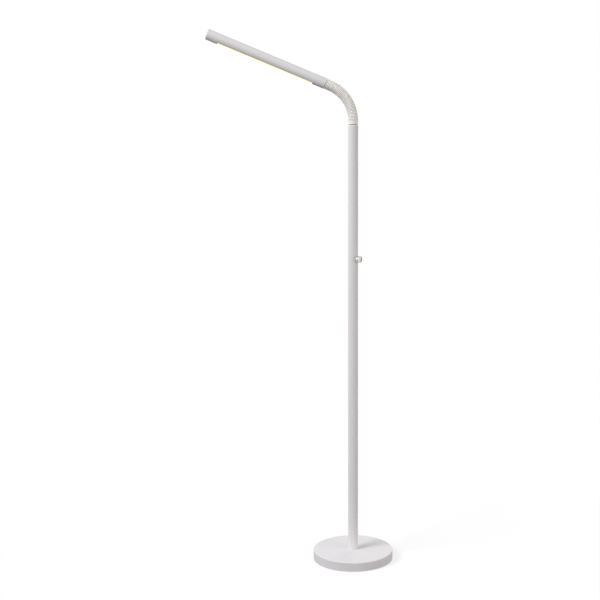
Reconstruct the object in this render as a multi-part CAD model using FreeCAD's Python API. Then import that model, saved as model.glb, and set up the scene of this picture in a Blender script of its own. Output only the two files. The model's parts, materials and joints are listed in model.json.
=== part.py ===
import FreeCAD, Part
import math
import os

# Gooseneck reading floor lamp. Millimetres, +Z up.
# The origin is the centre of the underside of the foot pad, on the floor.
# The pole stands on Z, the neck bends towards -X, and the slim head points up to -X.

V = FreeCAD.Vector
UP = V(0, 0, 1)

# Clearances
FIT = 0.05          # radial, between pieces pressed or screwed together
RUN = 0.05          # radial, of the spindle turning in its bush
EASE = 0.3          # between a loose or soft piece and what holds it
CUT = 1.0           # how far a cutting tool runs past the face that it cuts

# Base
BASE_R = 112.5
BASE_TOP = 27.0
SHELL_WALL = 1.5
SHELL_LIFT = 1.5    # gap from the floor up to the rim
SHELL_EDGE_R = 2.5
PAD_INSET = 4.0     # from the rim's inner face to the pad
PAD_T = 2.5
PLATE_INSET = 2.0
PLATE_T = 2.0
WEIGHT_INSET = 3.0
WEIGHT_T = 16.0
BOSS_R = 32.0       # raised middle of the weight, which carries the shell
RECESS_R = 24.0     # hollow under that boss, for the screw heads and the lead

# Screws
POLE_SCREW_R = 2.0
POLE_SCREW_HEAD_R = 3.8
POLE_SCREW_HEAD_T = 2.6
POLE_SCREW_GRIP = 12.0
POLE_SCREW_COUNT = 3
POLE_SCREW_CIRCLE_R = 8.8
POLE_SCREW_FIRST = 30.0    # degrees from +X, so that the lead passes between two heads
PLATE_SCREW_R = 2.0
PLATE_SCREW_HEAD_R = 4.0
PLATE_SCREW_LENGTH = 11.0
PLATE_SCREW_COUNT = 3
PLATE_SCREW_FIRST = 30.0
PLATE_SCREW_INSET = 24.0   # from the weight's edge

# Cord inlet at the back of the base, and the block that its cord is wired to
GLAND_Z = 13.5
GLAND_R = 5.5
GLAND_BORE_R = 3.3
GLAND_FLANGE_R = 7.5
GLAND_FLANGE_T = 2.5
GLAND_REACH = 12.5  # how far it goes in past the outer face of the rim
GLAND_NUT_AF = 15.0
GLAND_NUT_T = 3.0
BLOCK_W = 22.0
BLOCK_L = 24.0
BLOCK_H = 11.0
BLOCK_WELL_R = 1.8
BLOCK_ROOM = 20.0   # from the gland to the terminal block
NOTCH_GAP = 6.0     # round the block, in the weight's slot for it and the gland

# Leads
LEAD_R = 1.5
LEAD_BEND_R = 12.0
LEAD_GAP = 0.5      # under the lead where it lies over the bottom plate
CHANNEL_W = 8.0

# Pole
POLE_R = 14.0
POLE_WALL = 1.2
POLE_LENGTH = 1194.0
FOOT_PLUG_H = 25.0
FOOT_PLUG_BORE_R = 5.0
TOP_PLUG_H = 20.0

# Rotary switch on the pole, and its knob
SWITCH_Z = 858.6
SWITCH_TURN = -40.0  # degrees from +X, towards the front
SWITCH_W = 14.0
SWITCH_H = 18.0
SWITCH_BACK = 6.0    # how far its body goes behind the pole's axis
SWITCH_FRONT = 8.5
BUSH_R = 3.5
BUSH_END = 17.5
SWITCH_NUT_AF = 11.0
SWITCH_NUT_T = 2.2
SPINDLE_R = 3.0
SPINDLE_END = 24.6
KNOB_R = 9.2
KNOB_NEAR = 16.8
KNOB_FAR = 26.2
KNOB_DOME = 0.9
KNOB_EDGE_R = 0.6
KNOB_RECESS_R = 4.6
GRUB_R = 2.0
GRUB_PLACE = 21.9    # along the knob's axis, from the pole's
GRUB_END = 6.8

# LED driver in the pole
DRIVER_GAP = 34.0    # above the switch body
DRIVER_LENGTH = 105.0
DRIVER_END_T = 3.0

# Neck: a short straight foot, a bend and a short straight end
NECK_FOOT = 13.5
NECK_BEND_R = 102.0
NECK_BEND = 67.6     # degrees
NECK_END = 12.0
CORE_R = 6.0
CORE_BORE_R = 2.5
CORE_GRIP = 10.0     # how far the core goes into the pole and into the head
FERRULE_WALL = 1.2
FERRULE_GRIP = 12.0

# Ribbed sleeve on the neck
LINK_COUNT = 16
RIBS_PER_LINK = 2
RIB_R = 14.5
ROOT_R = 12.6
RIB_BASE = 2.15
RIB_CREST = 1.55
SKIRT_R = 11.1
SKIRT_WALL = 1.0
SKIRT_PLAY = 0.7     # radial, so that a link can tilt on the one below
SKIRT_REACH = 2.8    # past the hinge
LINK_TILT = 6.0      # degrees, the most that one link tilts
COLLAR_R = 13.7
COLLAR_T = 3.0
GROOVE_W = 1.2
GROOVE_R = 11.0
CUFF_R = 14.0

# Head
HEAD_R = 14.6
HEAD_WALL = 1.2
HEAD_LENGTH = 344.0
HEAD_GAP = 1.2       # dark line between the sleeve and the head
HEAD_PLUG_T = 14.0
SLOT_END = 34.0      # to the slot from the neck end, and from the foot of the cap's dome
SLOT_DEPTH = 3.6
CAP_T = 3.0
CAP_DOME = 2.0
CAP_SPIGOT = 10.0
SINK_TOP = -2.0      # height in the head, from its axis
SINK_T = 3.0
BOARD_W = 12.0
BOARD_T = 1.0
CHIP_COUNT = 24
CHIP_L = 3.5
CHIP_W = 2.8
CHIP_T = 0.8
LENS_INSET = 0.4     # the lens stops this far inside the round of the head
LENS_WALL = 1.3
LENS_TONGUE = 2.0
LENS_TONGUE_SIDE = 0.4
LENS_END_GAP = 0.2

# Levels and radii that follow
PAD_R = BASE_R - SHELL_WALL - PAD_INSET
PLATE_R = BASE_R - SHELL_WALL - PLATE_INSET
WEIGHT_R = BASE_R - SHELL_WALL - WEIGHT_INSET
PLATE_SCREW_CIRCLE_R = WEIGHT_R - PLATE_SCREW_INSET
BLOCK_Y = BASE_R - GLAND_REACH - BLOCK_ROOM - BLOCK_L
NOTCH_Y = BLOCK_Y - NOTCH_GAP
NOTCH_W = BLOCK_W + 2 * NOTCH_GAP
PLATE_TOP = PAD_T + PLATE_T
WEIGHT_TOP = PLATE_TOP + WEIGHT_T
SHELL_UNDER = BASE_TOP - SHELL_WALL
LEAD_LEVEL = PLATE_TOP + LEAD_GAP + LEAD_R
RECESS_TOP = LEAD_LEVEL + LEAD_BEND_R
POLE_TOP = BASE_TOP + POLE_LENGTH
POLE_BORE_R = POLE_R - POLE_WALL
DRIVER_BOTTOM = SWITCH_Z + SWITCH_H / 2 + DRIVER_GAP
DRIVER_TOP = DRIVER_BOTTOM + DRIVER_LENGTH
FERRULE_BORE_R = CORE_R + EASE
FERRULE_R = FERRULE_BORE_R + FERRULE_WALL
BEND_LENGTH = math.radians(NECK_BEND) * NECK_BEND_R
NECK_LENGTH = NECK_FOOT + BEND_LENGTH + NECK_END
LINK_PITCH = BEND_LENGTH / LINK_COUNT
RIB_PITCH = LINK_PITCH / RIBS_PER_LINK
VALLEY = RIB_PITCH - RIB_BASE
FLANK = (RIB_BASE - RIB_CREST) / 2
SOCKET_R = SKIRT_R + SKIRT_PLAY
SOCKET_REACH = SKIRT_REACH + SKIRT_R * math.sin(math.radians(LINK_TILT)) + EASE
HEAD_BORE_R = HEAD_R - HEAD_WALL
SLOT_LEVEL = -(HEAD_R - SLOT_DEPTH)
SLOT_FAR = HEAD_LENGTH - CAP_DOME - SLOT_END
SINK_UNDER = SINK_TOP - SINK_T
BOARD_UNDER = SINK_UNDER - BOARD_T
CHIP_UNDER = BOARD_UNDER - CHIP_T


def rod(radius, low, high):
    """Round bar on Z between two levels."""
    return Part.makeCylinder(radius, high - low, V(0, 0, low))


def pipe(radius, bore, low, high):
    """Round tube on Z between two levels."""
    return rod(radius, low, high).cut(rod(bore, low - CUT, high + CUT))


def hexagon(across_flats, low, high):
    """Hexagonal bar on Z between two levels."""
    corner = across_flats / math.sqrt(3)
    angles = [math.radians(60 * k) for k in range(7)]
    outline = Part.makePolygon([V(corner * math.cos(a), corner * math.sin(a), low) for a in angles])
    return Part.Face(outline).extrude(UP * (high - low))


def block(width, depth, height, corner):
    """Box of a width in X, a depth in Y and a height in Z, from its lowest corner."""
    return Part.makeBox(width, depth, height, corner)


def around(shape, count, radius, first):
    """Copies of a shape on a circle round Z, as a list, from a first angle in degrees."""
    copies = []
    for k in range(count):
        angle = math.radians(first + 360.0 * k / count)
        copies.append(shape.translated(V(radius * math.cos(angle), radius * math.sin(angle), 0)))
    return copies


def placed(shape, place):
    """Copy of a shape moved from the origin to a place."""
    copy = shape.copy()
    copy.Placement = place.multiply(copy.Placement)
    return copy


def lead_along(points, bend_r):
    """Round lead on straight runs joined by tangent arcs of one radius."""
    edges = []
    start = points[0]
    for before, corner, after in zip(points, points[1:], points[2:]):
        into = (corner - before).normalize()
        out = (after - corner).normalize()
        turn = into.getAngle(out)
        leg = bend_r * math.tan(turn / 2)
        middle = corner + (out - into).normalize() * (bend_r / math.cos(turn / 2) - bend_r)
        edges.append(Part.LineSegment(start, corner - into * leg).toShape())
        edges.append(Part.Arc(corner - into * leg, middle, corner + out * leg).toShape())
        start = corner + out * leg
    edges.append(Part.LineSegment(start, points[-1]).toShape())
    path = Part.Wire(edges)
    section = Part.Wire(Part.makeCircle(LEAD_R, points[0], points[1] - points[0]))
    lead = path.makePipeShell([section], True, False)
    steady = math.pi * LEAD_R ** 2 * path.Length
    print("lead of", round(path.Length), "mm, bends of", bend_r, "mm, volume", round(lead.Volume / steady, 4))
    return lead


# Base

def pole_screw_holes(radius, low, high):
    """Bars where the screws up into the pole's foot pass, as one compound."""
    bar = rod(radius, low, high)
    return Part.makeCompound(around(bar, POLE_SCREW_COUNT, POLE_SCREW_CIRCLE_R, POLE_SCREW_FIRST))


def plate_screw():
    """Countersunk screw whose head is flush with the underside of the bottom plate."""
    head = Part.makeCone(PLATE_SCREW_HEAD_R, PLATE_SCREW_R, PLATE_T, V(0, 0, PAD_T))
    shank = rod(PLATE_SCREW_R, PAD_T, PAD_T + PLATE_SCREW_LENGTH)
    return head.fuse(shank).removeSplitter()


def plate_screw_holes():
    """What the bottom plate's screws need in the plate and in the weight."""
    head = Part.makeCone(PLATE_SCREW_HEAD_R + FIT, PLATE_SCREW_R + FIT, PLATE_T, V(0, 0, PAD_T))
    hole = head.fuse(rod(PLATE_SCREW_R + FIT, PAD_T, PAD_T + PLATE_SCREW_LENGTH + CUT))
    return Part.makeCompound(around(hole, PLATE_SCREW_COUNT, PLATE_SCREW_CIRCLE_R, PLATE_SCREW_FIRST))


def along_y(shape):
    """A shape made on Z, turned onto +Y at the height of the cord inlet."""
    return placed(shape, FreeCAD.Placement(V(0, 0, GLAND_Z), FreeCAD.Rotation(V(1, 0, 0), -90)))


def foot_pad():
    return rod(PAD_R, 0, PAD_T)


def bottom_plate():
    return rod(PLATE_R, PAD_T, PLATE_TOP).cut(plate_screw_holes())


def base_weight():
    """Cast disc with a raised middle, hollow under it for the pole's screws."""
    disc = rod(WEIGHT_R, PLATE_TOP, WEIGHT_TOP).fuse(rod(BOSS_R, PLATE_TOP, SHELL_UNDER))
    disc = disc.cut(rod(RECESS_R, PLATE_TOP - CUT, RECESS_TOP))
    disc = disc.cut(rod(FOOT_PLUG_BORE_R, RECESS_TOP - CUT, SHELL_UNDER + CUT))
    disc = disc.cut(pole_screw_holes(POLE_SCREW_R + FIT, RECESS_TOP - CUT, SHELL_UNDER + CUT))
    channel_h = LEAD_LEVEL + LEAD_R + LEAD_GAP - PLATE_TOP
    channel = block(CHANNEL_W, NOTCH_Y, channel_h + CUT, V(-CHANNEL_W / 2, 0, PLATE_TOP - CUT))
    notch = block(NOTCH_W, WEIGHT_R, WEIGHT_T + 2 * CUT, V(-NOTCH_W / 2, NOTCH_Y, PLATE_TOP - CUT))
    return disc.cut(channel.fuse(notch)).cut(plate_screw_holes()).removeSplitter()


def base_shell():
    """Pressed cover: a flat top with a rounded edge and an upright rim."""
    outside = rod(BASE_R, SHELL_LIFT, BASE_TOP)
    outside = outside.makeFillet(SHELL_EDGE_R, [edge_at(outside, BASE_TOP)])
    inside = rod(BASE_R - SHELL_WALL, SHELL_LIFT - CUT, SHELL_UNDER)
    inside = inside.makeFillet(SHELL_EDGE_R - SHELL_WALL, [edge_at(inside, SHELL_UNDER)])
    shell = outside.cut(inside)
    shell = shell.cut(rod(FOOT_PLUG_BORE_R, SHELL_UNDER - CUT, BASE_TOP + CUT))
    shell = shell.cut(pole_screw_holes(POLE_SCREW_R + FIT, SHELL_UNDER - CUT, BASE_TOP + CUT))
    return shell.cut(along_y(rod(GLAND_R + FIT, BASE_R - GLAND_REACH, BASE_R + CUT)))


def edge_at(shape, level):
    """The round edge of a bar that lies at a level."""
    return [e for e in shape.Edges if abs(e.BoundBox.ZMin - level) + abs(e.BoundBox.ZMax - level) < 1e-6][0]


def base_screws():
    screw = plate_screw()
    return Part.makeCompound(around(screw, PLATE_SCREW_COUNT, PLATE_SCREW_CIRCLE_R, PLATE_SCREW_FIRST))


def cord_gland():
    """Flanged bush through the rim; the mains cord's way in."""
    body = rod(GLAND_R, BASE_R - GLAND_REACH, BASE_R + GLAND_FLANGE_T)
    body = body.fuse(rod(GLAND_FLANGE_R, BASE_R, BASE_R + GLAND_FLANGE_T)).removeSplitter()
    return along_y(body.cut(rod(GLAND_BORE_R, BASE_R - GLAND_REACH - CUT, BASE_R + GLAND_FLANGE_T + CUT)))


def gland_nut():
    """Nut inside the rim; its corners just clear the round of the rim."""
    corner = GLAND_NUT_AF / math.sqrt(3)
    face = math.sqrt((BASE_R - SHELL_WALL) ** 2 - corner ** 2) - FIT
    nut = hexagon(GLAND_NUT_AF, face - GLAND_NUT_T, face)
    return along_y(nut.cut(rod(GLAND_R + FIT, face - GLAND_NUT_T - CUT, face + CUT)))


def terminal_block():
    """Wiring block on the bottom plate, with the wells of its two screws."""
    body = block(BLOCK_W, BLOCK_L, BLOCK_H, V(-BLOCK_W / 2, BLOCK_Y, PLATE_TOP))
    well = rod(BLOCK_WELL_R, PLATE_TOP + BLOCK_H / 2, PLATE_TOP + BLOCK_H + CUT)
    wells = [well.translated(V(x, BLOCK_Y + BLOCK_L / 2, 0)) for x in (-BLOCK_W / 4, BLOCK_W / 4)]
    return body.cut(Part.makeCompound(wells))


def supply_lead():
    """From the terminal block to the middle of the base and up the pole to the switch."""
    points = [V(0, BLOCK_Y, LEAD_LEVEL), V(0, 0, LEAD_LEVEL), V(0, 0, SWITCH_Z - SWITCH_H / 2)]
    return lead_along(points, LEAD_BEND_R)


# Pole

def pole():
    """One long tube, pierced where the switch's bush passes."""
    tube = pipe(POLE_R, POLE_BORE_R, BASE_TOP, POLE_TOP)
    return tube.cut(on_switch(rod(BUSH_R + FIT, POLE_BORE_R / 2, POLE_R + CUT)))


def pole_foot():
    """Plug in the pole's lower end, tapped for the screws from below."""
    plug = pipe(POLE_BORE_R - FIT, FOOT_PLUG_BORE_R, BASE_TOP, BASE_TOP + FOOT_PLUG_H)
    depth = BASE_TOP + POLE_SCREW_GRIP + CUT
    return plug.cut(pole_screw_holes(POLE_SCREW_R + FIT, BASE_TOP - CUT, depth))


def pole_screws():
    head = rod(POLE_SCREW_HEAD_R, RECESS_TOP - POLE_SCREW_HEAD_T, RECESS_TOP)
    screw = head.fuse(rod(POLE_SCREW_R, RECESS_TOP, BASE_TOP + POLE_SCREW_GRIP)).removeSplitter()
    return Part.makeCompound(around(screw, POLE_SCREW_COUNT, POLE_SCREW_CIRCLE_R, POLE_SCREW_FIRST))


def pole_top_fitting():
    """Plug in the pole's upper end; its neck passes through the collar and shows above it as a dark line."""
    plug = rod(POLE_BORE_R - FIT, POLE_TOP - TOP_PLUG_H, POLE_TOP)
    neck = rod(GROOVE_R, POLE_TOP, POLE_TOP + COLLAR_T + GROOVE_W)
    bore = rod(FERRULE_R + FIT, POLE_TOP - TOP_PLUG_H - CUT, POLE_TOP + NECK_FOOT)
    return plug.fuse(neck).cut(bore).removeSplitter()


def neck_collar():
    """Pale ring on the pole's top face."""
    return pipe(COLLAR_R, GROOVE_R + FIT, POLE_TOP, POLE_TOP + COLLAR_T)


# Switch

def on_switch(shape):
    """A shape made on Z, turned onto the switch's axis, which points out of the pole."""
    turn = FreeCAD.Rotation(UP, SWITCH_TURN).multiply(FreeCAD.Rotation(V(0, 1, 0), 90))
    return placed(shape, FreeCAD.Placement(V(0, 0, SWITCH_Z), turn))


def switch_body():
    depth = SWITCH_BACK + SWITCH_FRONT
    return on_switch(block(SWITCH_H, SWITCH_W, depth, V(-SWITCH_H / 2, -SWITCH_W / 2, -SWITCH_BACK)))


def switch_bush():
    return on_switch(pipe(BUSH_R, SPINDLE_R + RUN, SWITCH_FRONT, BUSH_END))


def switch_nut():
    low = POLE_R + FIT
    nut = hexagon(SWITCH_NUT_AF, low, low + SWITCH_NUT_T)
    return on_switch(nut.cut(rod(BUSH_R + FIT, low - CUT, low + SWITCH_NUT_T + CUT)))


def switch_spindle():
    return on_switch(rod(SPINDLE_R, SWITCH_FRONT + EASE, SPINDLE_END))


def switch_knob():
    """Round knob with a low dome, hollow at the back where it clears the bush."""
    rise = KNOB_FAR - KNOB_DOME
    rim = V(KNOB_R, 0, rise - KNOB_EDGE_R)
    shoulder = V(KNOB_R - KNOB_EDGE_R, 0, rise)
    slant = KNOB_EDGE_R * (1 - math.sqrt(0.5))
    crown_r = (shoulder.x ** 2 + KNOB_DOME ** 2) / (2 * KNOB_DOME)
    half = math.asin(shoulder.x / crown_r) / 2
    crown = V(crown_r * math.sin(half), 0, KNOB_FAR - crown_r * (1 - math.cos(half)))
    outline = [
        Part.LineSegment(V(0, 0, KNOB_NEAR), V(KNOB_R, 0, KNOB_NEAR)),
        Part.LineSegment(V(KNOB_R, 0, KNOB_NEAR), rim),
        Part.Arc(rim, V(KNOB_R - slant, 0, rise - slant), shoulder),
        Part.Arc(shoulder, crown, V(0, 0, KNOB_FAR)),
        Part.LineSegment(V(0, 0, KNOB_FAR), V(0, 0, KNOB_NEAR)),
    ]
    face = Part.Face(Part.Wire([piece.toShape() for piece in outline]))
    knob = face.revolve(V(0, 0, 0), UP, 360)
    knob = knob.cut(rod(SPINDLE_R + FIT, KNOB_NEAR - CUT, SPINDLE_END + FIT))
    knob = knob.cut(rod(KNOB_RECESS_R, KNOB_NEAR - CUT, BUSH_END + EASE))
    return on_switch(knob.cut(grub(GRUB_R + FIT, KNOB_R + CUT)))


def grub(radius, far):
    """Level bar across the knob's axis, to the front left, out of the spindle's surface."""
    return Part.makeCylinder(radius, far - SPINDLE_R, V(0, -SPINDLE_R, GRUB_PLACE), V(0, -1, 0))


def knob_screw():
    return on_switch(grub(GRUB_R, GRUB_END).cut(rod(SPINDLE_R, 0, KNOB_FAR)))


# Driver and leads in the pole

def driver_case():
    """Slim round driver, a little looser than the pole's bore, between its two end caps."""
    return rod(POLE_BORE_R - EASE, DRIVER_BOTTOM + DRIVER_END_T, DRIVER_TOP - DRIVER_END_T)


def driver_ends():
    ends = [(DRIVER_BOTTOM, DRIVER_BOTTOM + DRIVER_END_T), (DRIVER_TOP - DRIVER_END_T, DRIVER_TOP)]
    return Part.makeCompound([rod(POLE_BORE_R - EASE, low, high) for low, high in ends])


def switched_lead():
    return rod(LEAD_R, SWITCH_Z + SWITCH_H / 2, DRIVER_BOTTOM)


def pole_lead():
    return rod(LEAD_R, DRIVER_TOP, POLE_TOP - TOP_PLUG_H)


# Neck

def neck_place(s):
    """Place s mm up the neck from the pole's top, with Z along the neck and X to its outer side."""
    bent = min(max(s - NECK_FOOT, 0), BEND_LENGTH)
    angle = bent / NECK_BEND_R
    straight = s - bent
    after = max(s - NECK_FOOT - BEND_LENGTH, 0)
    x = -NECK_BEND_R * (1 - math.cos(angle)) - after * math.sin(angle)
    z = POLE_TOP + (straight - after) + NECK_BEND_R * math.sin(angle) + after * math.cos(angle)
    return FreeCAD.Placement(V(x, 0, z), FreeCAD.Rotation(V(0, 1, 0), -math.degrees(angle)))


def hoop(radius, s):
    """Circle round the neck, its seam always on the outer side."""
    return placed(Part.Wire(Part.makeCircle(radius)), neck_place(s))


def hose(stations):
    """Solid through hoops, each (s, radius), ruled from one to the next."""
    return Part.makeLoft([hoop(radius, s) for s, radius in stations], True, True)


def plain_hose(radius, low, high):
    return hose([(low, radius), (high, radius)])


def ribs(first, count):
    """Stations of ribs with valleys between them, four hoops to a rib, from the foot of the first."""
    stations = []
    for k in range(count):
        foot = first + k * RIB_PITCH
        stations += [(foot, ROOT_R), (foot + FLANK, RIB_R)]
        stations += [(foot + RIB_BASE - FLANK, RIB_R), (foot + RIB_BASE, ROOT_R)]
    return stations


def hinge_station(k):
    """How far up the neck hinge k is; links lie between one hinge and the next."""
    return NECK_FOOT + k * LINK_PITCH


def skirt(hinge, root):
    """Thin collar on the upper end of a link, which nests in the socket above it."""
    outer = plain_hose(SKIRT_R, root, hinge + SKIRT_REACH)
    return outer.cut(plain_hose(SKIRT_R - SKIRT_WALL, root - CUT, hinge + SKIRT_REACH + CUT))


def socket(hinge):
    """Hollow in the lower end of a link, round the skirt below it."""
    return plain_hose(SOCKET_R, hinge, hinge + SOCKET_REACH)


def neck_link(k):
    """Link k of the sleeve: two ribs, a socket below, a skirt above and a web round the core."""
    low = hinge_station(k) + VALLEY / 2
    high = hinge_station(k + 1) - VALLEY / 2
    link = hose(ribs(low, RIBS_PER_LINK)).cut(socket(hinge_station(k)))
    link = link.fuse(skirt(hinge_station(k + 1), high - SKIRT_WALL))
    return link.cut(plain_hose(FERRULE_BORE_R, low, high + CUT)).removeSplitter()


def lower_cuff():
    """End of the sleeve on the pole: a plain band, then ribs up to the first hinge."""
    top = hinge_station(0) - VALLEY / 2
    band_low = COLLAR_T + GROOVE_W
    rib_low = top - RIB_BASE
    band_high = rib_low - VALLEY
    stations = [(band_low, CUFF_R), (band_high - FLANK, CUFF_R), (band_high, ROOT_R)] + ribs(rib_low, 1)
    cuff = hose(stations).fuse(skirt(hinge_station(0), top - SKIRT_WALL))
    return cuff.cut(plain_hose(FERRULE_R + FIT, 0, hinge_station(0) + SKIRT_REACH)).removeSplitter()


def upper_cuff():
    """End of the sleeve at the head: ribs from the last hinge, then a plain band."""
    hinge = hinge_station(LINK_COUNT)
    low = hinge + VALLEY / 2
    band_low = low + 2 * RIB_PITCH
    band_high = NECK_LENGTH - HEAD_GAP
    stations = ribs(low, 2) + [(band_low, ROOT_R), (band_low + FLANK, RIB_R), (band_high, RIB_R)]
    return hose(stations).cut(socket(hinge)).cut(plain_hose(FERRULE_R + FIT, low, NECK_LENGTH))


def neck_rod(radius, low, high):
    """Round bar that follows the whole neck, from s = low to s = high."""
    edges = [Part.makeLine(neck_place(low).Base, neck_place(NECK_FOOT).Base)]
    marks = [NECK_FOOT, NECK_FOOT + BEND_LENGTH / 2, NECK_FOOT + BEND_LENGTH]
    edges.append(Part.Arc(*[neck_place(s).Base for s in marks]).toShape())
    edges.append(Part.makeLine(neck_place(marks[-1]).Base, neck_place(high).Base))
    return Part.Wire(edges).makePipeShell([hoop(radius, low)], True, False)


def neck_core():
    """Flexible steel gooseneck that holds the head up, with the lead's bore through it."""
    low = -CORE_GRIP
    high = NECK_LENGTH + CORE_GRIP
    return neck_rod(CORE_R, low, high).cut(neck_rod(CORE_BORE_R, low - CUT, high + CUT))


def neck_lead():
    return neck_rod(LEAD_R, -TOP_PLUG_H, NECK_LENGTH + HEAD_PLUG_T)


def lower_ferrule():
    """Steel sleeve on the core's lower end, in the pole's fitting and the lower cuff."""
    return pipe(FERRULE_R, FERRULE_BORE_R, POLE_TOP - FERRULE_GRIP, POLE_TOP + hinge_station(0) - VALLEY / 2)


# Head

def in_head(shape):
    """A shape made on Z with its underside to -X, moved onto the head's axis from its neck end."""
    return placed(shape, neck_place(NECK_LENGTH))


def upper_ferrule():
    low = hinge_station(LINK_COUNT) + SOCKET_REACH - NECK_LENGTH
    return in_head(pipe(FERRULE_R, FERRULE_BORE_R, low, FERRULE_GRIP))


def head_rear_fitting():
    """Plug in the neck end of the head, with a neck of its own that shows as a dark line."""
    plug = rod(HEAD_BORE_R - FIT, 0, HEAD_PLUG_T).fuse(rod(GROOVE_R, -HEAD_GAP, 0))
    return in_head(plug.cut(rod(FERRULE_R + FIT, -HEAD_GAP - CUT, HEAD_PLUG_T + CUT)).removeSplitter())


def head_tube():
    """Tube with a long slot cut straight across its underside."""
    tube = pipe(HEAD_R, HEAD_BORE_R, 0, HEAD_LENGTH - CAP_T)
    slot = block(HEAD_R, 2 * HEAD_R, SLOT_FAR - SLOT_END, V(SLOT_LEVEL - HEAD_R, -HEAD_R, SLOT_END))
    return in_head(tube.cut(slot))


def head_end_cap():
    """Cap on the tip: a low dome and a spigot in the tube."""
    low = HEAD_LENGTH - CAP_T
    flat = HEAD_LENGTH - CAP_DOME
    dome_r = (HEAD_R ** 2 + CAP_DOME ** 2) / (2 * CAP_DOME)
    ball = Part.makeSphere(dome_r, V(0, 0, HEAD_LENGTH - dome_r))
    cap = rod(HEAD_R, low, HEAD_LENGTH + CUT).common(ball.fuse(rod(HEAD_R, low, flat)))
    return in_head(cap.fuse(rod(HEAD_BORE_R - FIT, low - CAP_SPIGOT, low)).removeSplitter())


def strip(width, under, top, low, high):
    """Flat strip in the head, given its width, its levels and its ends."""
    return block(top - under, width, high - low, V(under, -width / 2, low))


def heat_sink():
    """Bar as wide as the bore lets it be at its lower face."""
    half = math.sqrt((HEAD_BORE_R - EASE) ** 2 - SINK_UNDER ** 2)
    return in_head(strip(2 * half, SINK_UNDER, SINK_TOP, SLOT_END, SLOT_FAR))


def led_board():
    return in_head(strip(BOARD_W, BOARD_UNDER, SINK_UNDER, SLOT_END, SLOT_FAR))


def led_chips():
    pitch = (SLOT_FAR - SLOT_END) / CHIP_COUNT
    chip = strip(CHIP_W, CHIP_UNDER, BOARD_UNDER, -CHIP_L / 2, CHIP_L / 2)
    places = [SLOT_END + pitch * (k + 0.5) for k in range(CHIP_COUNT)]
    return Part.makeCompound([in_head(chip.translated(V(0, 0, place))) for place in places])


def diffuser():
    """Opal lens that fills the slot: a round underside, with a tongue up into the tube."""
    low = SLOT_END + LENS_END_GAP
    high = SLOT_FAR - LENS_END_GAP
    lens_r = HEAD_R - LENS_INSET
    below = strip(2 * HEAD_R, -HEAD_R, SLOT_LEVEL, low, high)
    half = math.sqrt(HEAD_BORE_R ** 2 - SLOT_LEVEL ** 2) - LENS_TONGUE_SIDE
    tongue = strip(2 * half, SLOT_LEVEL - CUT, SLOT_LEVEL + LENS_TONGUE, low, high)
    outer = rod(lens_r, low, high).common(below).fuse(tongue)
    hollow_half = half - LENS_WALL
    hollow = rod(lens_r - LENS_WALL, low - CUT, high + CUT)
    hollow = hollow.common(strip(2 * hollow_half, -HEAD_R, 0, low - CUT, high + CUT))
    return in_head(outer.cut(hollow).removeSplitter())


def head_lead():
    """From the neck along the head's axis, then down to the end of the LED board."""
    level = (SINK_UNDER + BOARD_UNDER) / 2
    run = (SLOT_END - HEAD_PLUG_T) / 4
    marks = [(0, HEAD_PLUG_T), (0, HEAD_PLUG_T + run), (level, SLOT_END - run), (level, SLOT_END)]
    return in_head(lead_along([V(x, 0, z) for x, z in marks], run))


def nodes():
    """Every piece of the lamp by its node's name."""
    pieces = [foot_pad, bottom_plate, base_weight, base_shell, base_screws, cord_gland, gland_nut]
    pieces += [terminal_block, supply_lead, pole, pole_foot, pole_screws, pole_top_fitting, neck_collar]
    pieces += [switch_body, switch_bush, switch_nut, switch_spindle, switch_knob, knob_screw]
    pieces += [driver_case, driver_ends, switched_lead, pole_lead]
    pieces += [lower_ferrule, lower_cuff, neck_core, neck_lead, upper_cuff, upper_ferrule]
    pieces += [head_rear_fitting, head_tube, head_end_cap, heat_sink, led_board, led_chips]
    pieces += [diffuser, head_lead]
    made = {piece.__name__: piece() for piece in pieces}
    for k in range(LINK_COUNT):
        made["neck_link_%02d" % (k + 1)] = neck_link(k)
    return made


os.makedirs("parts", exist_ok=True)
for name, shape in nodes().items():
    shape.exportStep("parts/" + name + ".step")
    print(name, "solids", len(shape.Solids), "volume", round(shape.Volume), "valid", shape.isValid())
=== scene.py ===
import bpy
import json
import math
from mathutils import Matrix, Vector

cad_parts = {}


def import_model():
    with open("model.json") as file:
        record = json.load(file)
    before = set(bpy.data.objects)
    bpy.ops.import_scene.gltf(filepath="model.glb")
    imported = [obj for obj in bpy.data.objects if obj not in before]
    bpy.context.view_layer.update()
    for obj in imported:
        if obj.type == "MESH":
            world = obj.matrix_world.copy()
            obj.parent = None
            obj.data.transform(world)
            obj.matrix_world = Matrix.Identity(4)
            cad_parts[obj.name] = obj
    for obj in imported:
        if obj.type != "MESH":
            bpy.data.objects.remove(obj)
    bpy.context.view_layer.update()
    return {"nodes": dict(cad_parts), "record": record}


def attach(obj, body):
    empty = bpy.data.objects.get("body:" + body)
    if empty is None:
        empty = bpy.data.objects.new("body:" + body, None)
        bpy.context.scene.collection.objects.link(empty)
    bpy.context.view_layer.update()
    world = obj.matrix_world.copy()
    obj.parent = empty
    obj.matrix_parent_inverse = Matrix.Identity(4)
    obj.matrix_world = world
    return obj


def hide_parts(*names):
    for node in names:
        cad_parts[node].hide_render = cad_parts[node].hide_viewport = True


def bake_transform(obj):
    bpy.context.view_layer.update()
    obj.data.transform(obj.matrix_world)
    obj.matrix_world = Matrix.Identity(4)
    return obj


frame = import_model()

NODES = frame["nodes"]
MM = 0.001

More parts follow.
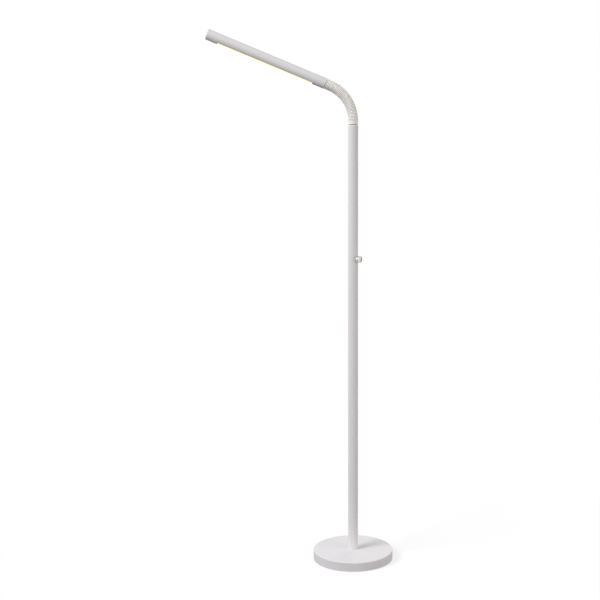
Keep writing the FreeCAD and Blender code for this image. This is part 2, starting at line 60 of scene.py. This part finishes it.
# Sizes of the neck and head, in millimetres, as in the part's source
POLE_TOP = 1221.0
NECK_FOOT = 13.5
NECK_BEND_R = 102.0
NECK_BEND = 67.6
NECK_END = 12.0
LINK_COUNT = 16
RIBS_PER_LINK = 2
RIB_R = 14.5
ROOT_R = 12.6
RIB_BASE = 2.15
COLLAR_T = 3.0
GROOVE_W = 1.2
CUFF_R = 14.0
HEAD_GAP = 1.2
CORE_R = 6.0
CORE_GRIP = 10.0
LEAD_R = 1.5
TOP_PLUG_H = 20.0
HEAD_PLUG_T = 14.0
HEAD_LENGTH = 344.0
CAP_DOME = 2.0
SLOT_END = 34.0
CHIP_COUNT = 24

BEND_LENGTH = math.radians(NECK_BEND) * NECK_BEND_R
NECK_LENGTH = NECK_FOOT + BEND_LENGTH + NECK_END
LINK_PITCH = BEND_LENGTH / LINK_COUNT
RIB_PITCH = LINK_PITCH / RIBS_PER_LINK
VALLEY = RIB_PITCH - RIB_BASE
CHIP_PITCH = (HEAD_LENGTH - CAP_DOME - 2 * SLOT_END) / CHIP_COUNT


def neck_place(s):
    """Matrix, in metres, s mm up the neck: Z runs along the neck and X to its outer side."""
    bent = min(max(s - NECK_FOOT, 0), BEND_LENGTH)
    angle = bent / NECK_BEND_R
    after = max(s - NECK_FOOT - BEND_LENGTH, 0)
    x = -NECK_BEND_R * (1 - math.cos(angle)) - after * math.sin(angle)
    z = POLE_TOP + (s - bent - after) + NECK_BEND_R * math.sin(angle) + after * math.cos(angle)
    return Matrix.Translation(Vector((x, 0, z)) * MM) @ Matrix.Rotation(-angle, 4, "Y")


# Materials

class Nodes:
    """A material's node tree, built one node at a time."""

    def __init__(self, name):
        self.material = bpy.data.materials.new(name)
        self.material.use_nodes = True
        self.tree = self.material.node_tree
        self.shader = self.tree.nodes["Principled BSDF"]
        self.output = self.tree.nodes["Material Output"]
        self.material.cycles.emission_sampling = "NONE"

    def add(self, kind, **values):
        node = self.tree.nodes.new(kind)
        for key, value in values.items():
            setattr(node, key, value)
        return node

    def link(self, source, target):
        self.tree.links.new(source, target)

    def coordinates(self):
        return self.add("ShaderNodeTexCoord").outputs["Object"]

    def noise(self, where, scale, detail=2.0):
        """Value of a noise with about scale features to a metre."""
        node = self.add("ShaderNodeTexNoise")
        node.inputs["Scale"].default_value = scale
        node.inputs["Detail"].default_value = detail
        self.link(where, node.inputs["Vector"])
        return node.outputs["Fac"]

    def math(self, operation, first, second):
        node = self.add("ShaderNodeMath", operation=operation)
        for slot, value in zip(node.inputs, (first, second)):
            if isinstance(value, (int, float)):
                slot.default_value = value
            else:
                self.link(value, slot)
        return node.outputs[0]

    def spread(self, value, low, high):
        """A 0 to 1 value mapped to low..high, from the middle half of its range."""
        node = self.add("ShaderNodeMapRange")
        node.inputs["From Min"].default_value = 0.25
        node.inputs["From Max"].default_value = 0.75
        node.inputs["To Min"].default_value = low
        node.inputs["To Max"].default_value = high
        self.link(value, node.inputs["Value"])
        return node.outputs["Result"]

    def mix(self, factor, first, second):
        node = self.add("ShaderNodeMix", data_type="RGBA")
        self.link(factor, node.inputs["Factor"])
        for slot, value in ((node.inputs[6], first), (node.inputs[7], second)):
            if isinstance(value, tuple):
                slot.default_value = (*value, 1)
            else:
                self.link(value, slot)
        return node.outputs[2]

    def bump(self, height, distance, strength=1.0, below=None):
        node = self.add("ShaderNodeBump")
        node.inputs["Distance"].default_value = distance
        node.inputs["Strength"].default_value = strength
        self.link(height, node.inputs["Height"])
        if below is not None:
            self.link(below, node.inputs["Normal"])
        return node.outputs["Normal"]


def scaled(colour, factor):
    return tuple(min(channel * factor, 1.0) for channel in colour)


COAT_MOTTLE = 0.012
COAT_SPECULAR = 0.25


def coated(name, colour, roughness, peel=0.000004):
    """Powder coat or fine matt plastic: orange peel, a slow unevenness and faint scuffs."""
    m = Nodes(name)
    where = m.coordinates()
    slow = m.noise(where, 14, 3.0)
    fine = m.noise(where, 900, 2.0)
    grain = m.noise(where, 3200, 1.0)
    pale, dark = scaled(colour, 1 + COAT_MOTTLE), scaled(colour, 1 - COAT_MOTTLE)
    tone = m.mix(m.spread(slow, 0, 1), dark, pale)
    tone = m.mix(m.spread(grain, 0.0, 0.35), tone, scaled(colour, 1 - 2 * COAT_MOTTLE))
    m.link(tone, m.shader.inputs["Base Color"])
    scuffs = m.spread(m.noise(where, 60, 4.0), roughness - 0.05, roughness + 0.06)
    m.link(scuffs, m.shader.inputs["Roughness"])
    normal = m.bump(fine, peel)
    m.link(m.bump(grain, peel * 0.3, 1.0, normal), m.shader.inputs["Normal"])
    m.shader.inputs["Specular IOR Level"].default_value = COAT_SPECULAR
    return m.material


def silicone(name, colour):
    """Matt silicone rubber with a fine moulded skin, darker between its ribs from dust and painted
    shade in the valleys.
    """
    m = Nodes(name)
    where = m.coordinates()
    crest = m.add("ShaderNodeAttribute", attribute_name="crest").outputs["Fac"]
    outside_valley_dust_and_shade = m.add("ShaderNodeMapRange")
    outside_valley_dust_and_shade.inputs["From Min"].default_value = 0.1
    outside_valley_dust_and_shade.inputs["From Max"].default_value = 0.7
    m.link(crest, outside_valley_dust_and_shade.inputs["Value"])
    skin = m.noise(where, 1500, 3.0)
    blotch = m.noise(where, 40, 3.0)
    tone = m.mix(m.spread(blotch, 0, 1), scaled(colour, 0.975), scaled(colour, 1.025))
    # Dust plus painted shade: towards the valley floor the colour falls to 0.8 of itself.
    tone = m.mix(outside_valley_dust_and_shade.outputs["Result"], scaled(colour, 0.8), tone)
    m.link(tone, m.shader.inputs["Base Color"])
    m.link(m.spread(skin, 0.55, 0.7), m.shader.inputs["Roughness"])
    m.shader.inputs["Subsurface Weight"].default_value = 0.15
    m.shader.inputs["Subsurface Radius"].default_value = (1.0, 1.0, 1.0)
    m.shader.inputs["Subsurface Scale"].default_value = 0.003
    m.shader.inputs["Sheen Weight"].default_value = 0.35
    m.shader.inputs["Sheen Roughness"].default_value = 0.35
    m.shader.inputs["Specular IOR Level"].default_value = 0.3
    m.link(m.bump(skin, 0.00002), m.shader.inputs["Normal"])
    return m.material


def metal(name, colour, roughness, scratch=400, depth=0.000004, stretch=(1, 1, 1)):
    """Bare or plated metal, with fine marks that can be drawn out along an axis."""
    m = Nodes(name)
    where = m.add("ShaderNodeMapping")
    m.link(m.coordinates(), where.inputs["Vector"])
    where.inputs["Scale"].default_value = stretch
    marks = m.noise(where.outputs["Vector"], scratch, 4.0)
    slow = m.noise(where.outputs["Vector"], 30, 2.0)
    tone = m.mix(m.spread(slow, 0, 1), scaled(colour, 0.94), scaled(colour, 1.03))
    m.link(tone, m.shader.inputs["Base Color"])
    m.shader.inputs["Metallic"].default_value = 1.0
    gloss = m.spread(marks, max(roughness - 0.04, 0.02), roughness + 0.05)
    m.link(gloss, m.shader.inputs["Roughness"])
    m.link(m.bump(marks, depth), m.shader.inputs["Normal"])
    return m.material


def chrome(name):
    """Bright plate; inside the grub hole, marked by a face attribute, the plate is painted near
    black as shade and is rougher, as unplated metal.
    """
    m = Nodes(name)
    m.shader.inputs["Metallic"].default_value = 1.0
    where = m.coordinates()
    marks = m.noise(where, 2500, 4.0)
    slow = m.noise(where, 120, 2.0)
    painted_hole_shade = m.add("ShaderNodeAttribute", attribute_name="painted_hole_shade").outputs["Fac"]
    plate = m.mix(m.spread(slow, 0, 1), (0.72, 0.72, 0.71), (0.78, 0.78, 0.77))
    # Painted shade: inside the grub hole the colour drops to near black.
    m.link(m.mix(painted_hole_shade, plate, (0.06, 0.055, 0.05)), m.shader.inputs["Base Color"])
    gloss = m.spread(marks, 0.05, 0.14)
    m.link(m.math("MAXIMUM", gloss, m.math("MULTIPLY", painted_hole_shade, 0.6)), m.shader.inputs["Roughness"])
    m.link(m.bump(marks, 0.0000008), m.shader.inputs["Normal"])
    return m.material


LENS_PALE_HALF = 0.003
LENS_WARM_HALF = 0.0075


def lens(name):
    """Opal lens lit by a row of chips behind it: paler along the middle, warmer at its sides."""
    m = Nodes(name)
    where = m.coordinates()
    split = m.add("ShaderNodeSeparateXYZ")
    m.link(where, split.inputs["Vector"])
    side = m.math("ABSOLUTE", split.outputs["Y"], 0.0)
    edge = m.add("ShaderNodeMapRange", interpolation_type="SMOOTHSTEP")
    edge.inputs["From Min"].default_value = LENS_PALE_HALF
    edge.inputs["From Max"].default_value = LENS_WARM_HALF
    m.link(side, edge.inputs["Value"])
    glow = m.mix(edge.outputs["Result"], (1.0, 0.95, 0.84), (0.9, 0.66, 0.24))
    skin = m.noise(where, 700, 2.0)
    tone = m.mix(m.spread(skin, 0, 1), (0.86, 0.84, 0.78), (0.9, 0.88, 0.82))
    m.link(tone, m.shader.inputs["Base Color"])
    m.link(glow, m.shader.inputs["Emission Color"])
    rise = math.radians(90 - NECK_BEND)
    along = m.math("ADD", m.math("MULTIPLY", split.outputs["X"], -math.cos(rise)),
                   m.math("MULTIPLY", split.outputs["Z"], math.sin(rise)))
    ripple = m.math("SINE", m.math("MULTIPLY", along, 2 * math.pi / (CHIP_PITCH * MM)), 0.0)
    level = m.math("ADD", m.math("MULTIPLY", ripple, 0.03), 0.95)
    m.link(level, m.shader.inputs["Emission Strength"])
    m.shader.inputs["Roughness"].default_value = 0.4
    m.link(m.bump(skin, 0.00001), m.shader.inputs["Normal"])
    return m.material


def glowing(name, colour, strength):
    """Phosphor of the chips, a little uneven."""
    m = Nodes(name)
    spots = m.noise(m.coordinates(), 1200, 2.0)
    tone = m.mix(m.spread(spots, 0, 1), scaled(colour, 0.9), colour)
    m.link(tone, m.shader.inputs["Base Color"])
    m.link(tone, m.shader.inputs["Emission Color"])
    m.shader.inputs["Emission Strength"].default_value = strength
    return m.material


def porous(name, colour, scale, depth, roughness):
    """Foam or rough casting: pits of one size over a slow unevenness."""
    m = Nodes(name)
    where = m.coordinates()
    cells = m.add("ShaderNodeTexVoronoi")
    cells.inputs["Scale"].default_value = scale
    m.link(where, cells.inputs["Vector"])
    pits = cells.outputs["Distance"]
    tone = m.mix(m.spread(m.noise(where, 40, 3.0), 0, 1), scaled(colour, 0.8), scaled(colour, 1.25))
    m.link(tone, m.shader.inputs["Base Color"])
    m.shader.inputs["Roughness"].default_value = roughness
    m.link(m.bump(pits, depth), m.shader.inputs["Normal"])
    return m.material


WHITE = (0.755, 0.735, 0.745)
FINISH = {
    "white_powder_coat": coated("white powder coat", WHITE, 0.55),
    "white_cap": coated("white cap", (0.8, 0.782, 0.785), 0.5, 0.000003),
    "white_collar": coated("white collar", (0.84, 0.83, 0.81), 0.45, 0.000003),
    "cream_silicone": silicone("cream silicone", (0.93, 0.907, 0.865)),
    "gooseneck_steel": metal("gooseneck steel", (0.5, 0.5, 0.51), 0.35, stretch=(1, 1, 0.2)),
    "chrome": chrome("chrome"),
    "zinc_steel": metal("zinc plate", (0.62, 0.62, 0.64), 0.35),
    "black_steel": metal("black oxide steel", (0.06, 0.06, 0.062), 0.4, 2500, 0.000001),
    "opal_lens": lens("opal lens"),
    "led_phosphor": glowing("chip phosphor", (1.0, 0.8, 0.4), 1.5),
    "board_white": coated("board mask", (0.82, 0.82, 0.8), 0.4, 0.000002),
    "bare_aluminium": metal("mill aluminium", (0.6, 0.6, 0.61), 0.38, stretch=(0.15, 1, 1)),
    "cast_iron": porous("cast iron", (0.12, 0.12, 0.13), 900, 0.0002, 0.7),
    "steel_sheet": metal("cold rolled sheet", (0.5, 0.5, 0.52), 0.4, stretch=(0.1, 1, 1)),
    "foam_pad": porous("foam pad", (0.05, 0.05, 0.055), 1400, 0.0001, 0.95),
    "black_nylon": coated("black nylon", (0.045, 0.045, 0.05), 0.5),
    "white_nylon": coated("white nylon", (0.74, 0.74, 0.73), 0.5),
    "lead_pvc": coated("lead jacket", (0.7, 0.7, 0.69), 0.42, 0.000002),
}

for part in frame["record"]["subparts"]:
    cad = NODES[part["node"]]
    for holder in cad.material_slots:
        holder.material = FINISH[part["material_slot"]]


# Pieces

def surface(name, rows, finish, crests=None, ends=False):
    """Smooth mesh through rings of as many points each, its ends open or closed.

    crests holds one value to a ring, for the attribute crest."""
    count = len(rows[0])
    mesh = bpy.data.meshes.new(name)
    faces = []
    for i in range(len(rows) - 1):
        for j in range(count):
            k = (j + 1) % count
            faces.append((i * count + j, i * count + k, (i + 1) * count + k, (i + 1) * count + j))
    if ends:
        faces.append(tuple(range(count - 1, -1, -1)))
        faces.append(tuple(range((len(rows) - 1) * count, len(rows) * count)))
    mesh.from_pydata([p for row in rows for p in row], [], faces)
    mesh.polygons.foreach_set("use_smooth", [True] * len(mesh.polygons))
    mesh.materials.append(FINISH[finish])
    if crests is not None:
        values = mesh.attributes.new("crest", "FLOAT", "POINT")
        values.data.foreach_set("value", [value for value in crests for _ in range(count)])
    piece = bpy.data.objects.new(name, mesh)
    bpy.context.scene.collection.objects.link(piece)
    return piece


def along_neck(stations, count):
    """Rings round the neck, one to a station (s, radius), in millimetres."""
    turns = [2 * math.pi * j / count for j in range(count)]
    circle = [Vector((math.cos(a), math.sin(a), 0)) for a in turns]
    return [[neck_place(s) @ (p * radius * MM) for p in circle] for s, radius in stations]


def rib_radius(s, foot):
    """Radius of the sleeve s mm up the neck: rounded ribs of one pitch, from foot on."""
    phase = ((s - foot) / RIB_PITCH) % 1.0
    crest = math.cos(math.pi * (phase - RIB_BASE / RIB_PITCH / 2))
    return ROOT_R + (RIB_R - ROOT_R) * max(crest, 0) ** 0.8 if crest > 0 else ROOT_R


SLEEVE_AROUND = 72
RINGS_PER_RIB = 14
SLEEVE_BORE_R = 10.0


def hinge_s(k):
    return NECK_FOOT + k * LINK_PITCH


def across_hinge(piece):
    """Bakes the piece's transform into its mesh; it doesn't bend the piece, which runs from the
    middle of the link below a hinge to that of the one above.
    """
    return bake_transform(piece)


def span(k, first, last):
    """Low and high end of the piece at hinge k, in mm up the neck, between first and last."""
    low = first if k == 0 else hinge_s(k) - LINK_PITCH / 2
    high = last if k == LINK_COUNT else hinge_s(k) + LINK_PITCH / 2
    return low, high


def sleeve_stations(k):
    """Outline of the sleeve at hinge k, from its low end to its high end."""
    first = COLLAR_T + GROOVE_W
    last = NECK_LENGTH - HEAD_GAP
    foot = hinge_s(0) + VALLEY / 2
    low, high = span(k, first, last)
    stations = []
    if k == 0:
        rib_foot = hinge_s(0) - VALLEY / 2 - RIB_BASE
        band = rib_foot - VALLEY
        stations += [(first, SLEEVE_BORE_R), (first, CUFF_R - 0.5)]
        stations += [(first + 0.15, CUFF_R - 0.15), (first + 0.5, CUFF_R)]
        stations += [(band - 0.9, CUFF_R), (band - 0.5, CUFF_R - 0.15)]
        stations += [(band - 0.2, CUFF_R - 0.6), (band, ROOT_R)]
        low = rib_foot
    if k == LINK_COUNT:
        high = hinge_s(k) + VALLEY / 2 + 2 * RIB_PITCH
    steps = round((high - low) / RIB_PITCH * RINGS_PER_RIB)
    ribbed = [low + (high - low) * i / steps for i in range(steps + 1)]
    stations += [(s, rib_radius(s, foot)) for s in ribbed]
    if k == LINK_COUNT:
        stations += [(high + 0.25, RIB_R - 0.5), (high + 0.6, RIB_R - 0.12), (high + 1.1, RIB_R)]
        stations += [(last - 0.6, RIB_R), (last - 0.2, RIB_R - 0.12)]
        stations += [(last, RIB_R - 0.5), (last, SLEEVE_BORE_R)]
    return stations


def sleeve_piece(k):
    stations = sleeve_stations(k)
    crests = [min(max((radius - ROOT_R) / (CUFF_R - ROOT_R), 0), 1) for s, radius in stations]
    rows = along_neck(stations, SLEEVE_AROUND)
    piece = surface("sleeve_%02d" % k, rows, "cream_silicone", crests=crests)
    replaced = ["lower_cuff"] if k == 0 else ["neck_link_%02d" % k]
    if k == LINK_COUNT:
        replaced.append("upper_cuff")
    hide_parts(*replaced)
    return across_hinge(piece)


CORE_AROUND = 40
RINGS_PER_TURN = 6
TURNS_PER_LINK = 4
TURN_DIP = 0.45


def core_piece(k):
    """Wound steel gooseneck: a close row of rounded turns."""
    low, high = span(k, -CORE_GRIP, NECK_LENGTH + CORE_GRIP)
    turns = max(round((high - low) / (LINK_PITCH / TURNS_PER_LINK)), TURNS_PER_LINK)
    steps = turns * RINGS_PER_TURN
    stations = [(low, 0.5 * CORE_R)] if k == 0 else []
    for i in range(steps + 1):
        dip = 0.5 * (1 + math.cos(2 * math.pi * i * turns / steps))
        stations.append((low + (high - low) * i / steps, CORE_R - TURN_DIP * dip))
    if k == LINK_COUNT:
        stations.append((high, 0.5 * CORE_R))
    piece = surface("core_%02d" % k, along_neck(stations, CORE_AROUND), "gooseneck_steel")
    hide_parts("neck_core")
    return across_hinge(piece)


LEAD_AROUND = 16
LEAD_RING_GAP = 2


def lead_piece(k):
    low, high = span(k, -TOP_PLUG_H, NECK_LENGTH + HEAD_PLUG_T)
    steps = max(round((high - low) / LEAD_RING_GAP), 4)
    stations = [(low + (high - low) * i / steps, LEAD_R) for i in range(steps + 1)]
    piece = surface("neck_wire_%02d" % k, along_neck(stations, LEAD_AROUND), "lead_pvc")
    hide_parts("neck_lead")
    return across_hinge(piece)


for k in range(LINK_COUNT + 1):
    sleeve_piece(k)
    core_piece(k)
    lead_piece(k)


# Knob, in millimetres: its axis leaves the pole at the front right
SWITCH_Z = 858.6
SWITCH_TURN = -40.0
SPINDLE_R = 3.0
KNOB_R = 9.2
KNOB_NEAR = 16.8
KNOB_FAR = 26.2
KNOB_DOME = 0.9
KNOB_EDGE_R = 0.6
KNOB_RECESS_R = 4.6
RECESS_END = 17.8
GRUB_R = 2.0
GRUB_PLACE = 21.9
GRUB_END = 6.8
SOCKET_AF = 2.0
SOCKET_DEPTH = 2.4
POINTER_NEAR = 3.2
POINTER_FAR = 7.4
POINTER_HALF = 0.45
POINTER_DEPTH = 0.35
AROUND_KNOB = 240
AROUND_GRUB = 48


def on_switch():
    """Matrix of the switch's axis: Z out of the pole and Y level, to the back."""
    turned = Matrix.Rotation(math.radians(SWITCH_TURN), 4, "Z")
    out = turned @ Matrix.Rotation(math.radians(90), 4, "Y")
    return Matrix.Translation(Vector((0, 0, SWITCH_Z)) * MM) @ out


def knob_stations():
    """Outline of the knob as (z, radius), from its hub to the middle of its face."""
    rise = KNOB_FAR - KNOB_DOME
    top = KNOB_R - KNOB_EDGE_R
    stations = [(RECESS_END, SPINDLE_R), (RECESS_END, KNOB_RECESS_R), (KNOB_NEAR, KNOB_RECESS_R)]
    stations += [(KNOB_NEAR, KNOB_R - 0.4), (KNOB_NEAR + 0.12, KNOB_R - 0.12)]
    stations.append((KNOB_NEAR + 0.4, KNOB_R))
    stations.append((rise - KNOB_EDGE_R, KNOB_R))
    for i in range(1, 7):
        a = math.radians(90 * i / 6)
        stations.append((rise - KNOB_EDGE_R * (1 - math.sin(a)), top + KNOB_EDGE_R * math.cos(a)))
    steps = 44
    for i in range(1, steps):
        r = top * (1 - i / steps)
        stations.append((rise + KNOB_DOME * (1 - (r / top) ** 2), r))
    return stations


def pointer_depth(x, y):
    """How deep the pointer's groove is at a place on the face; at rest it points up."""
    inside = POINTER_NEAR < -x < POINTER_FAR and abs(y) < POINTER_HALF
    return POINTER_DEPTH if inside else 0


def grub_hole(piece, place):
    """Cuts the hole of the grub screw into the knob's front left side."""
    cutter = bpy.data.meshes.new("grub hole")
    count = AROUND_GRUB
    points = []
    for y in (-SPINDLE_R - 2, -KNOB_R - 2):
        for j in range(count):
            a = 2 * math.pi * j / count
            spot = Vector((GRUB_R * math.cos(a), y, GRUB_PLACE + GRUB_R * math.sin(a)))
            points.append(place @ (spot * MM))
    faces = [(j, (j + 1) % count, count + (j + 1) % count, count + j) for j in range(count)]
    faces += [tuple(range(count - 1, -1, -1)), tuple(range(count, 2 * count))]
    cutter.from_pydata(points, [], faces)
    bar = bpy.data.objects.new("grub hole", cutter)
    bpy.context.scene.collection.objects.link(bar)
    cut = piece.modifiers.new("hole", "BOOLEAN")
    cut.operation = "DIFFERENCE"
    cut.object = bar
    bpy.context.view_layer.update()
    graph = bpy.context.evaluated_depsgraph_get()
    holed = bpy.data.meshes.new_from_object(piece.evaluated_get(graph))
    piece.modifiers.remove(cut)
    piece.data = holed
    bpy.data.objects.remove(bar)
    back = place.inverted()
    # Marks the faces inside the grub hole, where the chrome paints shade.
    painted_hole_shade = holed.attributes.new("painted_hole_shade", "FLOAT", "FACE")
    for face in holed.polygons:
        spot = back @ face.center / MM
        inside = math.hypot(spot.x, spot.z - GRUB_PLACE) < GRUB_R
        deep = -KNOB_R * 0.98 < spot.y < -SPINDLE_R
        off_axis = abs(spot.x) > GRUB_R / 50
        painted_hole_shade.data[face.index].value = 1.0 if inside and deep and off_axis else 0.0


def knob():
    place = on_switch()
    rows = []
    for z, radius in knob_stations():
        row = []
        for j in range(AROUND_KNOB):
            a = 2 * math.pi * j / AROUND_KNOB
            x, y = radius * math.cos(a), radius * math.sin(a)
            sunk = pointer_depth(x, y) if z > KNOB_FAR - KNOB_DOME else 0
            row.append(place @ (Vector((x, y, z - sunk)) * MM))
        rows.append(row)
    piece = surface("knob", rows, "chrome", ends=True)
    grub_hole(piece, place)
    piece.data.set_sharp_from_angle(angle=math.radians(40))
    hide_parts("switch_knob")
    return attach(piece, "knob")


def grub_screw():
    """Set screw with a hexagon socket, seen down its hole."""
    place = on_switch()
    turns = [2 * math.pi * j / AROUND_GRUB for j in range(AROUND_GRUB)]
    socket = SOCKET_AF / 2

    def spot(a, r, y):
        return Vector((r * math.cos(a), y, GRUB_PLACE + r * math.sin(a)))

    def ring(radius, y):
        return [spot(a, radius, y) for a in turns]

    def hexagon(y):
        sixth, half = math.radians(60), math.radians(30)
        return [spot(a, socket / math.cos((a % sixth) - half), y) for a in turns]

    face = -GRUB_END
    corner = socket / math.cos(math.radians(30))
    rows = [ring(0.3, face + SOCKET_DEPTH + 0.15), hexagon(face + SOCKET_DEPTH)]
    rows += [hexagon(face + 0.1), ring(corner + 0.12, face), ring(GRUB_R - 0.3, face)]
    rows += [ring(GRUB_R, face + 0.3), ring(GRUB_R, -SPINDLE_R), ring(0.3, -SPINDLE_R)]
    rows = [[place @ (p * MM) for p in row] for row in rows]
    piece = surface("grub_screw", rows, "black_steel", ends=True)
    piece.data.set_sharp_from_angle(angle=math.radians(30))
    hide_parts("knob_screw")
    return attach(piece, "knob")


knob()
grub_screw()


# Studio

FLOOR_HALF = 30.0
FLOOR_NEAR = 0.15
FLOOR_FAR = 1.0
FLOOR_SHADE = 0.35
FLOOR_LIFT = 0.66
PAINT_NEAR = (0.2, 0.2, 0.2)
PAINT_FAR = (0.04, 0.04, 0.04)


def floor():
    """Floor: a soft grey to the light, white to the eye apart from the lamp's shadow."""
    m = Nodes("studio floor")
    m.tree.nodes.remove(m.shader)
    path = m.add("ShaderNodeLightPath").outputs
    seen = m.math("MAXIMUM", path["Is Camera Ray"], path["Is Glossy Ray"])
    seen = m.math("MAXIMUM", seen, path["Is Transmission Ray"])
    shade = m.add("ShaderNodeBsdfDiffuse")
    shade.inputs["Color"].default_value = (FLOOR_SHADE, FLOOR_SHADE, FLOOR_SHADE, 1)
    lift = m.add("ShaderNodeEmission")
    lift.inputs["Strength"].default_value = FLOOR_LIFT
    both = m.add("ShaderNodeAddShader")
    m.link(shade.outputs[0], both.inputs[0])
    m.link(lift.outputs[0], both.inputs[1])
    white = m.add("ShaderNodeEmission")
    far = m.add("ShaderNodeMapRange", interpolation_type="SMOOTHSTEP")
    far.inputs["From Min"].default_value = FLOOR_NEAR
    far.inputs["From Max"].default_value = FLOOR_FAR
    length = m.add("ShaderNodeVectorMath", operation="LENGTH")
    m.link(m.coordinates(), length.inputs[0])
    m.link(length.outputs["Value"], far.inputs["Value"])
    paint = m.add("ShaderNodeBsdfDiffuse")
    m.link(m.mix(far.outputs["Result"], PAINT_NEAR, PAINT_FAR), paint.inputs["Color"])
    near = m.add("ShaderNodeMixShader")
    m.link(far.outputs["Result"], near.inputs["Fac"])
    m.link(both.outputs[0], near.inputs[1])
    m.link(white.outputs[0], near.inputs[2])
    mixed = m.add("ShaderNodeMixShader")
    m.link(seen, mixed.inputs["Fac"])
    m.link(paint.outputs[0], mixed.inputs[1])
    m.link(near.outputs[0], mixed.inputs[2])
    m.link(mixed.outputs[0], m.output.inputs["Surface"])
    mesh = bpy.data.meshes.new("floor")
    half = FLOOR_HALF
    corners = [(-half, -half, 0), (half, -half, 0), (half, half, 0), (-half, half, 0)]
    mesh.from_pydata(corners, [], [(0, 1, 2, 3)])
    mesh.materials.append(m.material)
    piece = bpy.data.objects.new("floor", mesh)
    bpy.context.scene.collection.objects.link(piece)


def world(strength):
    """Even light all round, and white wherever it's seen."""
    sky = bpy.data.worlds.new("studio")
    bpy.context.scene.world = sky
    sky.use_nodes = True
    tree = sky.node_tree
    tree.nodes.clear()
    path = tree.nodes.new("ShaderNodeLightPath").outputs
    first = tree.nodes.new("ShaderNodeMath")
    second = tree.nodes.new("ShaderNodeMath")
    for node in (first, second):
        node.operation = "MAXIMUM"
    tree.links.new(path["Is Camera Ray"], first.inputs[0])
    tree.links.new(path["Is Glossy Ray"], first.inputs[1])
    tree.links.new(first.outputs[0], second.inputs[0])
    tree.links.new(path["Is Transmission Ray"], second.inputs[1])
    light = tree.nodes.new("ShaderNodeBackground")
    light.inputs["Color"].default_value = (0.985, 0.985, 1.02, 1)
    light.inputs["Strength"].default_value = strength
    white = tree.nodes.new("ShaderNodeBackground")
    white.inputs["Color"].default_value = (1, 1, 1, 1)
    mixed = tree.nodes.new("ShaderNodeMixShader")
    tree.links.new(second.outputs[0], mixed.inputs["Fac"])
    tree.links.new(light.outputs[0], mixed.inputs[1])
    tree.links.new(white.outputs[0], mixed.inputs[2])
    output = tree.nodes.new("ShaderNodeOutputWorld")
    tree.links.new(mixed.outputs[0], output.inputs["Surface"])


def softbox(name, place, target, size, power, colour=(1, 1, 1)):
    lamp = bpy.data.lights.new(name, "AREA")
    lamp.color = colour
    lamp.shape = "SQUARE"
    lamp.size = size
    lamp.energy = power
    holder = bpy.data.objects.new(name, lamp)
    holder.location = place
    holder.rotation_euler = (Vector(target) - Vector(place)).to_track_quat("-Z", "Y").to_euler()
    bpy.context.scene.collection.objects.link(holder)


def card(name, grey, corners):
    """Grey card that only shows in polished metal, where it gives the darker edges."""
    m = Nodes(name)
    m.shader.inputs["Base Color"].default_value = (0, 0, 0, 1)
    m.shader.inputs["Emission Color"].default_value = (grey, grey, grey * 0.95, 1)
    m.shader.inputs["Emission Strength"].default_value = 1.0
    m.shader.inputs["Specular IOR Level"].default_value = 0.0
    mesh = bpy.data.meshes.new(name)
    mesh.from_pydata(corners, [], [(0, 1, 2, 3)])
    mesh.materials.append(m.material)
    sheet = bpy.data.objects.new(name, mesh)
    sheet.visible_camera = False
    sheet.visible_diffuse = False
    sheet.visible_transmission = False
    sheet.visible_shadow = False
    bpy.context.scene.collection.objects.link(sheet)


floor()
card("side_card", 0.36, [(1.93, 0.52, 0), (0.69, 1.88, 0), (0.69, 1.88, 2.4), (1.93, 0.52, 2.4)])
card("pale_card", 0.84, [(1.94, -0.6, 0), (1.94, 0.52, 0), (1.94, 0.52, 2.4), (1.94, -0.6, 2.4)])
card("low_card", 0.42,
     [(-1.8, -0.4, 0.001), (0.4, -0.4, 0.001), (0.4, 1.8, 0.001), (-1.8, 1.8, 0.001)])
world(0.455)
softbox("key", (-3.59, -2.35, 3.76), (0, 0, 1.0), 2.4, 208)
softbox("fill", (1.75, -1.03, 0.71), (0, 0, 0.8), 1.6, 18, (1, 0.955, 0.925))
softbox("side", (-1.4, 0.3, 1.25), (0, 0, 1.3), 0.8, 2.6)
softbox("back", (1.3, 2.7, 0.5), (0, 0, 0.9), 1.6, 32)

# Camera, solved from the photo: sizes in its pixels, place in metres, pitch in degrees
PICTURE_PX = 600
FOCAL_PX = 1182
PRINCIPAL_X_PX = 353.1
SENSOR = 36
CAMERA_PLACE = (0, -3.236, 1.222)
CAMERA_PITCH = 8.4

view = bpy.data.cameras.new("camera")
view.sensor_width = SENSOR
view.lens = FOCAL_PX / PICTURE_PX * SENSOR
view.shift_x = (PICTURE_PX / 2 - PRINCIPAL_X_PX) / PICTURE_PX
camera = bpy.data.objects.new("camera", view)
camera.location = CAMERA_PLACE
camera.rotation_euler = (math.radians(90 - CAMERA_PITCH), 0, 0)
bpy.context.scene.collection.objects.link(camera)
bpy.context.scene.camera = camera
bpy.context.scene.view_settings.view_transform = "Standard"
